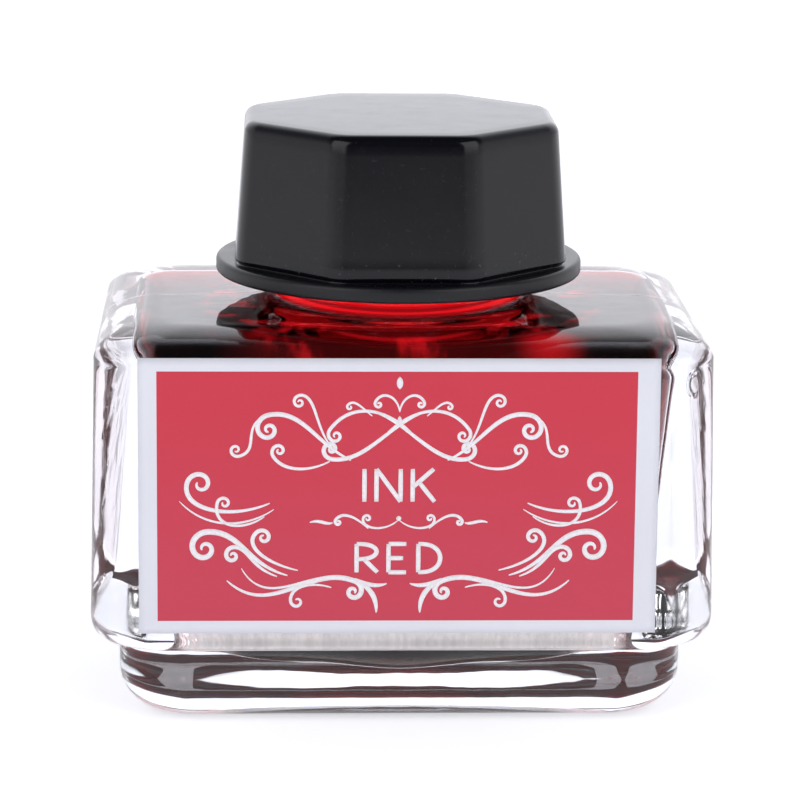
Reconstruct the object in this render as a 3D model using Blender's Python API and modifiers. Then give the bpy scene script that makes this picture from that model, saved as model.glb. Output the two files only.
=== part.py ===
"""Square glass ink bottle with an eight-sided screw cap.

Frame: metres, +Z up, +X to the right of the label, the label facing -Y.
The origin is the middle of the flat underside that the bottle stands on.

Pieces: glass_bottle, ink, front_label, screw_cap, cap_liner.
The cap turns about the Z axis and climbs its thread by one pitch a turn.
"""

import math

import bmesh
import bpy

MM = 0.001
GAP = 0.3  # clearance kept between neighbouring pieces

# Driving dimensions, in millimetres
BODY_WIDTH = 60.0
BODY_DEPTH = 42.0
BODY_CORNER = 4.4
SHOULDER_CORNER = 5.0  # corner at the shoulder's inner edge
HEEL_CORNER = 6.75  # corner where the heel meets the foot
BODY_FLARE = 0.018  # outward lean of each side, per millimetre downward
SHOULDER_Z = 39.2
SHOULDER_REACH = 6.0  # how far in from the side the shoulder's rounding starts
SHOULDER_DROP = 3.0
HEEL_Z = 8.4  # where the body steps in to the foot
HEEL_REACH = 2.6
HEEL_RISE = 3.4
FOOT_WIDTH = 55.3
FOOT_DEPTH = 37.3
FOOT_CORNER = 6.4
FOOT_EDGE = 4.8

NECK_RADIUS = 12.6
BORE_RADIUS = 10.2
NECK_FLARE = 2.3
MOUTH_Z = 54.2
RIM_ROUND = 0.7
BEAD_Z = 42.75
BEAD_RADIUS = 13.3
THREAD_PITCH = 4.2
THREAD_TURNS = 1.25
THREAD_START_Z = 45.6
THREAD_HEIGHT = 1.05
THREAD_ROOT = 0.85  # half widths of the thread's profile
THREAD_CREST = 0.45

CAVITY_BOTTOM_Z = 12.0  # where the hollow's sides turn in to its bowl-shaped floor
CAVITY_FLOOR_Z = 3.5  # the lowest point of the bowl
CAVITY_TOP_Z = 36.0
CAVITY_TOP_SIZE = (51.8, 33.8)
CAVITY_FOOT_SIZE = (47.4, 30.6)
CAVITY_CORNER = 4.2
CAVITY_ROUND = 3.4
INK_LEVEL_Z = 42.6

LABEL_WIDTH = 49.6
LABEL_HEIGHT = 26.9
LABEL_THICKNESS = 0.25
LABEL_CENTRE_X = -0.6
LABEL_CENTRE_Z = 23.75

CAP_BOTTOM_Z = 41.85
CAP_TOP_Z = 57.5
FLANGE_RADIUS = 18.2
FLANGE_HEIGHT = 1.55
OCTAGON_BASE = 32.6  # across the flats
OCTAGON_TOP = 30.6
OCTAGON_CORNER = 3.6
CAP_TOP_EDGE = 1.0
CAP_BORE_RADIUS = 14.05
CAP_CEILING_Z = 55.7
CAP_THREAD_REACH = 1.0
CAP_THREAD_GAP = 0.36
LINER_RADIUS = 13.6
LINER_THICKNESS = 0.9

ROUND_STEPS = 48


def clear_scene():
    """Empties the scene without closing the file that the script runs from."""
    for thing in list(bpy.data.objects):
        bpy.data.objects.remove(thing, do_unlink=True)


def new_collection(name):
    group = bpy.data.collections.new(name)
    bpy.context.scene.collection.children.link(group)
    return group


def material(name, colour, roughness, metallic=0.0, transmission=0.0, ior=1.5):
    mat = bpy.data.materials.new(name)
    mat.use_nodes = True
    shader = mat.node_tree.nodes["Principled BSDF"]
    shader.inputs["Base Color"].default_value = (*colour, 1.0)
    shader.inputs["Roughness"].default_value = roughness
    shader.inputs["Metallic"].default_value = metallic
    shader.inputs["Transmission Weight"].default_value = transmission
    shader.inputs["IOR"].default_value = ior
    return mat


def object_from(bm, name, group, mat=None):
    """A new object of the bmesh, its sizes taken from millimetres to metres."""
    bmesh.ops.recalc_face_normals(bm, faces=bm.faces)
    mesh = bpy.data.meshes.new(name)
    bm.to_mesh(mesh)
    bm.free()
    for vertex in mesh.vertices:
        vertex.co *= MM
    thing = bpy.data.objects.new(name, mesh)
    group.objects.link(thing)
    if mat is not None:
        mesh.materials.append(mat)
    return thing


def shade(thing, degrees=32.0):
    thing.data.shade_smooth()
    thing.data.set_sharp_from_angle(angle=math.radians(degrees))


def rounded_outline(corners, radius, steps):
    """A convex outline with each corner replaced by an arc of the same radius.

    corners run counter-clockwise. Each arc's centre lies on its corner's bisector,
    radius / cos(half the turn) in from the corner.
    """
    points = []
    count = len(corners)
    for i in range(count):
        before = corners[i - 1]
        here = corners[i]
        after = corners[(i + 1) % count]
        angle_in = math.atan2(here[1] - before[1], here[0] - before[0])
        angle_out = math.atan2(after[1] - here[1], after[0] - here[0])
        turn = (angle_out - angle_in) % (2 * math.pi)
        reach = radius / math.cos(turn / 2)
        inward = angle_in + turn / 2 + math.pi / 2
        centre_x = here[0] + reach * math.cos(inward)
        centre_y = here[1] + reach * math.sin(inward)
        for j in range(steps + 1):
            a = angle_in - math.pi / 2 + turn * j / steps
            points.append((centre_x + radius * math.cos(a), centre_y + radius * math.sin(a)))
    return points


def rectangle_ring(width, depth, radius, z, steps=5):
    w = width / 2
    d = depth / 2
    corners = [(-w, -d), (w, -d), (w, d), (-w, d)]
    return [(x, y, z) for x, y in rounded_outline(corners, radius, steps)]


def octagon_ring(across_flats, radius, z, steps=3):
    """A rounded regular octagon with one flat facing -Y."""
    outer = across_flats / 2 / math.cos(math.pi / 8)
    corners = []
    for i in range(8):
        a = -math.pi / 2 - math.pi / 8 + i * math.pi / 4
        corners.append((outer * math.cos(a), outer * math.sin(a)))
    return [(x, y, z) for x, y in rounded_outline(corners, radius, steps)]


def loft(rings):
    """A closed skin through rings of equal count, with a flat face at each end."""
    bm = bmesh.new()
    rows = [[bm.verts.new(point) for point in ring] for ring in rings]
    count = len(rows[0])
    for lower, upper in zip(rows, rows[1:]):
        for i in range(count):
            j = (i + 1) % count
            bm.faces.new((lower[i], lower[j], upper[j], upper[i]))
    bm.faces.new(list(reversed(rows[0])))
    bm.faces.new(rows[-1])
    return bm


def turned(profile, name, group, mat=None, steps=ROUND_STEPS):
    """A turned solid: the profile runs from the axis down its outer side to the axis."""
    mesh = bpy.data.meshes.new(name)
    points = [(r * MM, 0.0, z * MM) for r, z in profile]
    edges = [(i, i + 1) for i in range(len(points) - 1)]
    mesh.from_pydata(points, edges, [])
    thing = bpy.data.objects.new(name, mesh)
    group.objects.link(thing)
    if mat is not None:
        mesh.materials.append(mat)
    screw = thing.modifiers.new("turn", "SCREW")
    screw.axis = "Z"
    screw.steps = steps
    screw.render_steps = steps
    screw.use_merge_vertices = True
    screw.merge_threshold = 0.00001
    return thing


def thread_ridge(root_radius, crest_radius, root_half, crest_half, start_z, name, group):
    """A right-hand helical ridge of trapezoid section, tapering out at both ends.

    At angle a from the start, the section's middle is at start_z + pitch * a / (2 pi).
    It shrinks to a tenth over the first and the last twelfth of a turn.
    """
    bm = bmesh.new()
    count = round(THREAD_TURNS * ROUND_STEPS)
    fade = ROUND_STEPS / 12
    rows = []
    for i in range(count + 1):
        angle = 2 * math.pi * i / ROUND_STEPS
        size = min(1.0, 0.1 + 0.9 * min(i, count - i) / fade)
        z = start_z + THREAD_PITCH * i / ROUND_STEPS
        crest = root_radius + (crest_radius - root_radius) * size
        section = (
            (root_radius, -root_half),
            (crest, -root_half + (root_half - crest_half) * size),
            (crest, root_half - (root_half - crest_half) * size),
            (root_radius, root_half),
        )
        row = []
        for radius, rise in section:
            x = radius * math.cos(angle)
            y = radius * math.sin(angle)
            row.append(bm.verts.new((x, y, z + rise)))
        rows.append(row)
    for here, after in zip(rows, rows[1:]):
        for i in range(4):
            j = (i + 1) % 4
            bm.faces.new((here[i], after[i], after[j], here[j]))
    bm.faces.new(rows[0])
    bm.faces.new(list(reversed(rows[-1])))
    return object_from(bm, name, group)


def join(thing, other, operation):
    """Adds a live Boolean of another object, which is kept as a guide."""
    boolean = thing.modifiers.new(other.name, "BOOLEAN")
    boolean.operation = operation
    boolean.solver = "EXACT"
    boolean.object = other
    other.hide_render = True
    other.display_type = "WIRE"


def body_half_size(size, z):
    """Half a side of the body at height z: it leans outward on the way down."""
    middle = (SHOULDER_Z + HEEL_Z) / 2
    return size / 2 + (middle - z) * BODY_FLARE


def body_ring(z, inset, end_corner, reach):
    """The body's outline drawn in by inset; its corners reach end_corner at full reach."""
    half_width = body_half_size(BODY_WIDTH, z) - inset
    half_depth = body_half_size(BODY_DEPTH, z) - inset
    corner = BODY_CORNER + (end_corner - BODY_CORNER) * inset / reach
    return rectangle_ring(2 * half_width, 2 * half_depth, corner, z)


def bottle_outside():
    """Rings of the outer form: flat underside, rounded foot, stepped heel, body, shoulder."""
    rings = []
    for i in range(5):
        a = math.pi / 2 * i / 4
        inset = FOOT_EDGE * (1 - math.sin(a))
        z = FOOT_EDGE * (1 - math.cos(a))
        corner = max(FOOT_CORNER - inset, 0.8)
        rings.append(rectangle_ring(FOOT_WIDTH - 2 * inset, FOOT_DEPTH - 2 * inset, corner, z))
    rings.append(rectangle_ring(FOOT_WIDTH, FOOT_DEPTH, FOOT_CORNER, HEEL_Z - 0.1))
    for i in range(1, 5):
        a = math.pi / 2 * i / 4
        z = HEEL_Z + HEEL_RISE * (1 - math.cos(a))
        rings.append(body_ring(z, HEEL_REACH * (1 - math.sin(a)), HEEL_CORNER, HEEL_REACH))
    for i in range(6):
        a = math.pi / 2 * i / 5
        z = SHOULDER_Z - SHOULDER_DROP * (1 - math.sin(a))
        inset = SHOULDER_REACH * (1 - math.cos(a))
        rings.append(body_ring(z, inset, SHOULDER_CORNER, SHOULDER_REACH))
    return rings


def cavity_rings(gap):
    """Rings of the hollow, drawn in by a gap: it tapers down to a bowl-shaped floor.

    In the bowl, (share of the width)^2.3 + (share of the depth)^2 = 1.
    """
    rings = []
    high = CAVITY_TOP_Z - gap
    radius = CAVITY_ROUND - gap
    top_width, top_depth = CAVITY_TOP_SIZE
    foot_width, foot_depth = CAVITY_FOOT_SIZE

    def ring(z, inset):
        share = (z - CAVITY_BOTTOM_Z) / (CAVITY_TOP_Z - CAVITY_BOTTOM_Z)
        width = foot_width + (top_width - foot_width) * share - 2 * (inset + gap)
        depth = foot_depth + (top_depth - foot_depth) * share - 2 * (inset + gap)
        return rectangle_ring(width, depth, max(CAVITY_CORNER - gap - inset, 0.6), z)

    for i in range(8):
        a = 0.14 + (math.pi / 2 - 0.14) * i / 7
        share = math.sin(a) ** (2 / 2.3)
        z = CAVITY_BOTTOM_Z - (CAVITY_BOTTOM_Z - CAVITY_FLOOR_Z - gap) * math.cos(a)
        width = foot_width * share - 2 * gap * math.sin(a)
        depth = foot_depth * share - 2 * gap * math.sin(a)
        rings.append(rectangle_ring(width, depth, max(CAVITY_CORNER * share - gap, 0.6), z))
    for i in range(5):
        a = math.pi / 2 * i / 4
        rings.append(ring(high - radius * (1 - math.sin(a)), radius * (1 - math.cos(a))))
    return rings


def make_bottle(parts, guides):
    glass = material("clear_glass", (0.97, 0.985, 0.99), 0.02, transmission=1.0, ior=1.52)
    bottle = object_from(loft(bottle_outside()), "glass_bottle", parts, glass)
    neck_top = MOUTH_Z
    neck = turned(
        [
            (0.0, neck_top),
            (NECK_RADIUS - RIM_ROUND, neck_top),
            (NECK_RADIUS - 0.2, neck_top - 0.2),
            (NECK_RADIUS, neck_top - RIM_ROUND),
            (NECK_RADIUS, BEAD_Z + 0.7),
            (BEAD_RADIUS, BEAD_Z + 0.25),
            (BEAD_RADIUS, BEAD_Z - 0.25),
            (NECK_RADIUS, BEAD_Z - 0.7),
            (NECK_RADIUS, SHOULDER_Z + NECK_FLARE * 0.75),
            (NECK_RADIUS + NECK_FLARE * 0.25, SHOULDER_Z + NECK_FLARE * 0.25),
            (NECK_RADIUS + NECK_FLARE, SHOULDER_Z),
            (NECK_RADIUS + NECK_FLARE, SHOULDER_Z - 1.0),
            (0.0, SHOULDER_Z - 1.0),
        ],
        "neck_form",
        guides,
    )
    thread = thread_ridge(
        NECK_RADIUS - 0.25,
        NECK_RADIUS + THREAD_HEIGHT,
        THREAD_ROOT,
        THREAD_CREST,
        THREAD_START_Z,
        "neck_thread_form",
        guides,
    )
    hollow = object_from(loft(cavity_rings(0.0)), "hollow_form", guides)
    bore = turned(
        [
            (0.0, MOUTH_Z + 2.0),
            (BORE_RADIUS + 0.5, MOUTH_Z + 2.0),
            (BORE_RADIUS + 0.5, MOUTH_Z),
            (BORE_RADIUS, MOUTH_Z - 0.5),
            (BORE_RADIUS, CAVITY_TOP_Z + 1.6),
            (BORE_RADIUS + 0.6, CAVITY_TOP_Z + 0.5),
            (BORE_RADIUS + 2.0, CAVITY_TOP_Z - 0.2),
            (BORE_RADIUS + 2.0, CAVITY_TOP_Z - 2.0),
            (0.0, CAVITY_TOP_Z - 2.0),
        ],
        "bore_form",
        guides,
    )
    join(bottle, neck, "UNION")
    join(bottle, thread, "UNION")
    join(bottle, hollow, "DIFFERENCE")
    join(bottle, bore, "DIFFERENCE")
    shade(bottle)
    return bottle


def make_ink(parts, guides):
    """The liquid: it fills the hollow and stands a little way up inside the neck."""
    red = material("red_ink", (0.35, 0.006, 0.012), 0.03, transmission=0.6, ior=1.34)
    ink = object_from(loft(cavity_rings(GAP)), "ink", parts, red)
    column = turned(
        [
            (0.0, INK_LEVEL_Z),
            (BORE_RADIUS - GAP, INK_LEVEL_Z),
            (BORE_RADIUS - GAP, CAVITY_TOP_Z - 2.0),
            (0.0, CAVITY_TOP_Z - 2.0),
        ],
        "ink_column_form",
        guides,
    )
    join(ink, column, "UNION")
    shade(ink)
    return ink


def make_label(parts):
    """A thin paper plate, a gap clear of the front face and leaning with it."""
    paper = material("label_paper", (0.62, 0.05, 0.10), 0.5)
    bm = bmesh.new()
    bmesh.ops.create_cube(bm, size=1.0)
    bmesh.ops.scale(bm, vec=(LABEL_WIDTH, LABEL_THICKNESS, LABEL_HEIGHT), verts=bm.verts)
    label = object_from(bm, "front_label", parts, paper)
    lean = math.atan(BODY_FLARE)
    out = body_half_size(BODY_DEPTH, LABEL_CENTRE_Z) + (GAP + LABEL_THICKNESS / 2) / math.cos(lean)
    label.location = (LABEL_CENTRE_X * MM, -out * MM, LABEL_CENTRE_Z * MM)
    label.rotation_euler = (-lean, 0.0, 0.0)
    return label


def make_cap(parts, guides):
    black = material("black_plastic", (0.012, 0.012, 0.014), 0.22)
    seat = CAP_BOTTOM_Z + FLANGE_HEIGHT

    def across(z):
        share = (z - seat) / (CAP_TOP_Z - seat)
        return OCTAGON_BASE + (OCTAGON_TOP - OCTAGON_BASE) * share

    rings = [octagon_ring(across(CAP_BOTTOM_Z + 0.5), OCTAGON_CORNER, CAP_BOTTOM_Z + 0.5)]
    for i in range(4):
        a = math.pi / 2 * i / 3
        z = CAP_TOP_Z - CAP_TOP_EDGE * (1 - math.sin(a))
        inset = CAP_TOP_EDGE * (1 - math.cos(a))
        rings.append(octagon_ring(across(z) - 2 * inset, OCTAGON_CORNER - inset * 0.5, z))
    cap = object_from(loft(rings), "screw_cap", parts, black)
    flange = turned(
        [
            (0.0, seat),
            (FLANGE_RADIUS - 0.4, seat),
            (FLANGE_RADIUS, seat - 0.4),
            (FLANGE_RADIUS, CAP_BOTTOM_Z + 0.3),
            (FLANGE_RADIUS - 0.3, CAP_BOTTOM_Z),
            (0.0, CAP_BOTTOM_Z),
        ],
        "flange_form",
        guides,
    )
    bore = turned(
        [
            (0.0, CAP_CEILING_Z),
            (CAP_BORE_RADIUS, CAP_CEILING_Z),
            (CAP_BORE_RADIUS, CAP_BOTTOM_Z + 0.9),
            (CAP_BORE_RADIUS + 0.9, CAP_BOTTOM_Z),
            (CAP_BORE_RADIUS + 0.9, CAP_BOTTOM_Z - 1.0),
            (0.0, CAP_BOTTOM_Z - 1.0),
        ],
        "cap_bore_form",
        guides,
    )
    # The cap's ridge sits just under the neck's ridge, as it does when it is screwed tight.
    overlap = (NECK_RADIUS + THREAD_HEIGHT) - (CAP_BORE_RADIUS - CAP_THREAD_REACH)
    slope = (THREAD_ROOT - THREAD_CREST) / THREAD_HEIGHT
    below = 2 * THREAD_CREST + overlap * slope + CAP_THREAD_GAP
    thread = thread_ridge(
        CAP_BORE_RADIUS + 0.25,
        CAP_BORE_RADIUS - CAP_THREAD_REACH,
        THREAD_ROOT,
        THREAD_CREST,
        THREAD_START_Z - below,
        "cap_thread_form",
        guides,
    )
    join(cap, flange, "UNION")
    join(cap, bore, "DIFFERENCE")
    join(cap, thread, "UNION")
    shade(cap)
    return cap


def make_liner(parts):
    """The soft sealing disc under the cap's ceiling."""
    foam = material("liner_foam", (0.82, 0.81, 0.78), 0.7)
    top = CAP_CEILING_Z - GAP
    bottom = top - LINER_THICKNESS
    liner = turned(
        [(0.0, top), (LINER_RADIUS, top), (LINER_RADIUS, bottom), (0.0, bottom)],
        "cap_liner",
        parts,
        foam,
    )
    shade(liner)
    return liner


def on_axis(name, z, children, group):
    """An empty on the cap's axis that carries the pieces given."""
    axis = bpy.data.objects.new(name, None)
    group.objects.link(axis)
    axis.location = (0.0, 0.0, z * MM)
    for child in children:
        child.parent = axis
        child.location.z -= z * MM
    return axis


def main():
    clear_scene()
    parts = new_collection("ink_bottle")
    guides = new_collection("ink_bottle_guides")
    make_bottle(parts, guides)
    make_ink(parts, guides)
    make_label(parts)
    cap = make_cap(parts, guides)
    liner = make_liner(parts)
    lift = on_axis("cap_lift_axis", MOUTH_Z, [liner], parts)
    turn = on_axis("cap_turn_axis", MOUTH_Z, [cap], parts)
    turn.parent = lift
    turn.location.z = 0.0
    # The guides of the cap move with it, so that its cuts stay where they are.
    for guide in guides.objects:
        if guide.name in ("flange_form", "cap_bore_form", "cap_thread_form"):
            guide.parent = turn
            guide.location.z -= MOUTH_Z * MM


main()
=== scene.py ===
"""The looks of a rectangular glass ink bottle with an eight-sided screw cap.

The bottle's lengths are in millimetres and are turned to metres when a mesh is made.
The studio and the camera at the end are in metres.
Most surfaces are rings about the Z axis: a ring's point at angle a lies at radius r(a)
and height z(a), so a whole closed skin is two arrays, one of radii and one of heights.
"""

import math

import bpy
import numpy as np
from mathutils import Matrix, Vector


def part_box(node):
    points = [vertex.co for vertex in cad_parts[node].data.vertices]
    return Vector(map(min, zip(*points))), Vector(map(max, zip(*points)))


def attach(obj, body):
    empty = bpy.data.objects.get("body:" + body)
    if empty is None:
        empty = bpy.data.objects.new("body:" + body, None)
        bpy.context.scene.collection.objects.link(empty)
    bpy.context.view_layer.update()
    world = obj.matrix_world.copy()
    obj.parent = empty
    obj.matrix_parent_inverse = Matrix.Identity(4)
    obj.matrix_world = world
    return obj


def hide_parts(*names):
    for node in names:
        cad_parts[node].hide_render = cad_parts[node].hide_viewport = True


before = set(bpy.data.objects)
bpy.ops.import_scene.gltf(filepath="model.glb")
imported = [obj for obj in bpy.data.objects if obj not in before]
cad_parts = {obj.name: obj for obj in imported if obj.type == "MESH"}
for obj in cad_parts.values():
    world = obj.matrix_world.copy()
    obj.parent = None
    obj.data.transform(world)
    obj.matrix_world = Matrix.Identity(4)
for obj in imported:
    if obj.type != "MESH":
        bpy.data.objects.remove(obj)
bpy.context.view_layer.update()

MM = 0.001
TURN = 2 * math.pi
QUARTER = math.pi / 2


# ---------------------------------------------------------------- sizes


def node_box(name):
    """A node's lowest and highest corners in millimetres."""
    low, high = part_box(name)
    return np.array(low) / MM, np.array(high) / MM


MOUTH_Z = node_box("glass_bottle")[1][2]
FILM_Z = node_box("ink")[1][2]
CAP_LOW, CAP_HIGH = node_box("screw_cap")
LINER_LOW, LINER_HIGH = node_box("cap_liner")
LABEL_LOW, LABEL_HIGH = node_box("front_label")

# The glass block on its foot.
BODY_HALF = np.array([30.0, 21.0])
BODY_CORNER = 4.4
FLARE = 0.018  # outward lean of each side, per millimetre downward
WAVE = 0.0036  # unevenness of the sides
WAVE_ROOM = 0.03  # how far in the uneven sides lie, to stay inside the block
SHOULDER_Z = 39.2
SHOULDER_REACH = 6.0  # how far in from the side the shoulder's rounding starts
SHOULDER_DROP = 3.0
SHOULDER_CORNER = 5.0
SHOULDER_RISE = 0.25  # from the rounding's inner end to the neck
HEEL_Z = 7.9  # where the body steps in to the foot
HEEL_REACH = 2.6
HEEL_RISE = 3.4
HEEL_CORNER = 6.75
CREASE = 0.35  # radius of the fillet between foot and heel
FOOT_HALF = np.array([27.65, 18.65])
FOOT_CORNER = 6.4
FOOT_EDGE = 4.8  # radius of the foot's lower edge
FOOT_SPREAD = 1.5  # how much rounder its corners are on the underside
PUSH_UP = 0.9  # height of the dome pressed into the underside
PUSH_UP_SHARE = 0.88  # the dome's share of the flat's radius

# The neck, with its bead and its thread.
NECK = 12.6
BORE = 10.2
NECK_REACH = 2.2  # the fillet at the neck's foot
NECK_RISE = 1.7
RIM_ROUND = 0.9
BEAD_Z = 42.75
BEAD_HEIGHT = 0.7
BEAD_ROOT = 0.85  # half widths of the bead's profile
BEAD_CREST = 0.25
PITCH = 4.2
THREAD_TURNS = 1.25
THREAD_Z = 45.6
THREAD_HEIGHT = 1.05
THREAD_ROOT = 0.85  # half widths of the ridge's profile
THREAD_CREST = 0.35
THREAD_ROOM = 1.0  # plain neck kept below and above the ridge

# The hollow.
CAVITY_HIGH_Z = 36.0
CAVITY_LOW_Z = 12.0  # where its sides turn in to its bowl-shaped floor
CAVITY_FLOOR_Z = 3.5
CAVITY_TOP_HALF = np.array([25.9, 16.9])
CAVITY_LOW_HALF = np.array([23.7, 15.3])
CAVITY_CORNER = 3.0
CAVITY_SHIFT = 0.3  # how far it sits to the right
CAVITY_REACH = 2.2  # its rounding under the shoulder
CAVITY_DROP = 2.0
THROAT = 1.6  # radius of the rounding below the bore

# The ink in it.
INK_OVERLAP = 0.006
INK_LEVEL_Z = 38.4
INK_FILM = 0.35

# The cap.
FLANGE_HEIGHT = 1.55
FLANGE_UNDER_ROUND = 0.35
FLANGE_TOP_ROUND = 0.45
OCTAGON_BASE = 32.6  # across the flats
OCTAGON_TOP = 30.6
OCTAGON_CORNER = 3.6
CAP_EDGE = 1.0  # radius of the edge round the top
CAP_BORE = 14.05
CAP_CEILING_Z = 55.7
CAP_CEILING_ROUND = 0.6
CAP_MOUTH_REACH = 0.9  # the rounding where the bore opens
CAP_MOUTH_RISE = 1.0
CAP_THREAD_HEIGHT = 1.0
THREAD_GAP = 0.36  # along Z, between the neck's ridge and the cap's


# ---------------------------------------------------------------- mesh making


def mesh_object(name, points, faces, body, node):
    """A smooth-shaded piece from points in millimetres and an array or list of faces."""
    mesh = bpy.data.meshes.new(name)
    mesh.from_pydata((np.asarray(points) * MM).tolist(), [], [list(f) for f in faces])
    mesh.validate()
    mesh.shade_smooth()
    thing = bpy.data.objects.new(name, mesh)
    bpy.context.scene.collection.objects.link(thing)
    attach(thing, body)
    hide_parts(node)
    return thing


def ring_faces(rows, columns):
    """Quads between successive rings, and a fan to a pole at each end.

    Ring j's point i is number j * columns + i. The poles are the two numbers after the
    last ring. Angles run counter-clockwise and the rings run so that the outside is on
    the right of the path seen along the rings' own direction.
    """
    j, i = np.meshgrid(np.arange(rows - 1), np.arange(columns), indexing="ij")
    k = (i + 1) % columns
    corners = [j * columns + i, j * columns + k, (j + 1) * columns + k, (j + 1) * columns + i]
    quads = np.stack(corners, axis=-1).reshape(-1, 4)
    i = np.arange(columns)
    k = (i + 1) % columns
    last = (rows - 1) * columns
    low_pole = rows * columns
    start = np.stack([k, i, np.full(columns, low_pole)], axis=-1)
    end = np.stack([last + i, last + k, np.full(columns, low_pole + 1)], axis=-1)
    return quads.tolist() + start.tolist() + end.tolist()


def gathered_angles(count, corners, width, gain):
    """Angles round the circle, closer together near each corner's direction.

    Their density is 1 + gain * exp(-(distance / width)^2) about each corner.
    """
    fine = np.linspace(0, TURN, 7201)
    density = np.ones_like(fine)
    for corner in corners:
        away = (fine - corner + math.pi) % TURN - math.pi
        density += gain * np.exp(-((away / width) ** 2))
    total = np.concatenate([[0], np.cumsum((density[1:] + density[:-1]) / 2)])
    return np.interp(np.arange(count) / count, total / total[-1], fine)


def rectangle_radius(angle, half_x, half_y, corner):
    """Distance from the middle to a rounded rectangle in a direction.

    It is half_x / |cos a| or half_y / |sin a| on the straight sides. On a corner's arc,
    with centre c and unit direction d, it is d.c + sqrt((d.c)^2 - c.c + corner^2).
    """
    c = np.maximum(np.abs(np.cos(angle)), 1e-9)
    s = np.maximum(np.abs(np.sin(angle)), 1e-9)
    in_x = half_x - corner
    in_y = half_y - corner
    along = c * in_x + s * in_y
    arc = along + np.sqrt(np.maximum(along**2 - in_x**2 - in_y**2 + corner**2, 0))
    side = half_x / c
    end = half_y / s
    radius = np.where(side * s <= in_y, side, arc)
    return np.where(end * c <= in_x, end, radius)


def octagon_radius(angle, flats, corner):
    """Distance from the middle to a rounded regular octagon whose flat faces -Y.

    The angle is folded to within an eighth of a turn of the nearest flat's middle, and
    then the flat or the corner's arc is met as on a rounded rectangle.
    """
    folded = np.abs((angle + math.pi / 8) % (math.pi / 4) - math.pi / 8)
    c = np.cos(folded)
    s = np.sin(folded)
    in_x = flats / 2 - corner
    in_y = in_x * math.tan(math.pi / 8)
    along = c * in_x + s * in_y
    arc = along + np.sqrt(np.maximum(along**2 - in_x**2 - in_y**2 + corner**2, 0))
    flat = flats / 2 / c
    return np.where(flat * s <= in_y, flat, arc)


def smooth_step(x):
    x = np.clip(x, 0, 1)
    return x * x * (3 - 2 * x)


def helix_ridge(angle, z, start_z):
    """Height, 0 to 1, of a right-hand ridge whose middle is at start_z + pitch * turns.

    Across the ridge it falls smoothly from 1 within the crest's half width of the middle
    to 0 at the root's. Along it, it rises over the first and falls over the last twelfth
    of a turn.
    """
    height = np.zeros(np.broadcast(angle, z).shape)
    for whole in (0, 1):
        turned = angle + TURN * whole
        middle = start_z + PITCH * turned / TURN
        across = smooth_step((THREAD_ROOT - np.abs(z - middle)) / (THREAD_ROOT - THREAD_CREST))
        ends = np.minimum(turned, THREAD_TURNS * TURN - turned) / (TURN / 12)
        height = np.maximum(height, across * smooth_step(ends))
    return height


class Rings:
    """Collects the rings of a skin about the Z axis, a few rows at a time.

    A radius or a height is one number, a column of one number a row, a row of one number
    an angle, or a whole grid of them.
    """

    def __init__(self, angles):
        self.angles = angles
        self.radii = []
        self.heights = []

    def add(self, radius, height):
        one_row = (1, self.angles.size)
        shape = np.broadcast_shapes(np.shape(radius), np.shape(height), one_row)
        self.radii.append(np.broadcast_to(radius, shape))
        self.heights.append(np.broadcast_to(height, shape))

    def join(self, other, backward):
        """Adds another's rings, in their own order or backward."""
        way = -1 if backward else 1
        self.add(np.concatenate(other.radii)[::way], np.concatenate(other.heights)[::way])

    def skin(self, name, body, node):
        """A closed skin: x = r cos a, y = r sin a, z, with a pole at each end."""
        radii = np.concatenate(self.radii)
        heights = np.concatenate(self.heights)
        x = radii * np.cos(self.angles)
        y = radii * np.sin(self.angles)
        points = np.stack([x, y, heights], axis=-1).reshape(-1, 3)
        poles = np.array([[0.0, 0.0, heights[0].mean()], [0.0, 0.0, heights[-1].mean()]])
        points = np.concatenate([points, poles])
        return mesh_object(name, points, ring_faces(*radii.shape), body, node)


def column(values):
    return np.asarray(values, float).reshape(-1, 1)


def steps(start, end, count, skip_first=False):
    """Evenly spaced values as a column."""
    values = np.linspace(start, end, count)
    return column(values[1:] if skip_first else values)


# ---------------------------------------------------------------- the glass


def bottle_angles():
    """Angles round the bottle, gathered at the block's four corners."""
    corner = math.radians(34)
    corners = [corner, math.pi - corner, math.pi + corner, TURN - corner]
    return gathered_angles(352, corners, 0.17, 3.6)


def drawn_in(angle, half, inset, corner):
    """A rounded rectangle with each side drawn in by an inset."""
    return rectangle_radius(angle, half[0] - inset, half[1] - inset, corner)


def body_half(z):
    """Half the body's sides at height z: they lean outward on the way down."""
    middle = (SHOULDER_Z + HEEL_Z) / 2
    return BODY_HALF[:, None, None] + (middle - z) * FLARE


def glass_wave(angle, z):
    """The slight unevenness of pressed glass: a sum of three slow sines."""
    return WAVE * (
        np.sin(3 * angle + 0.21 * z)
        + 0.7 * np.sin(7 * angle - 0.33 * z + 1.3)
        + 0.6 * np.sin(11 * angle + 0.52 * z + 0.4)
    )


def cavity_radius(angle, z, inset):
    """The hollow's plan at height z: a rounded rectangle that widens evenly upward."""
    share = (z - CAVITY_LOW_Z) / (CAVITY_HIGH_Z - CAVITY_LOW_Z)
    half = [low + (top - low) * share for low, top in zip(CAVITY_LOW_HALF, CAVITY_TOP_HALF)]
    corner = np.maximum(CAVITY_CORNER - inset, 0.6)
    return drawn_in(angle, half, inset, corner) + CAVITY_SHIFT * np.cos(angle)


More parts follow.
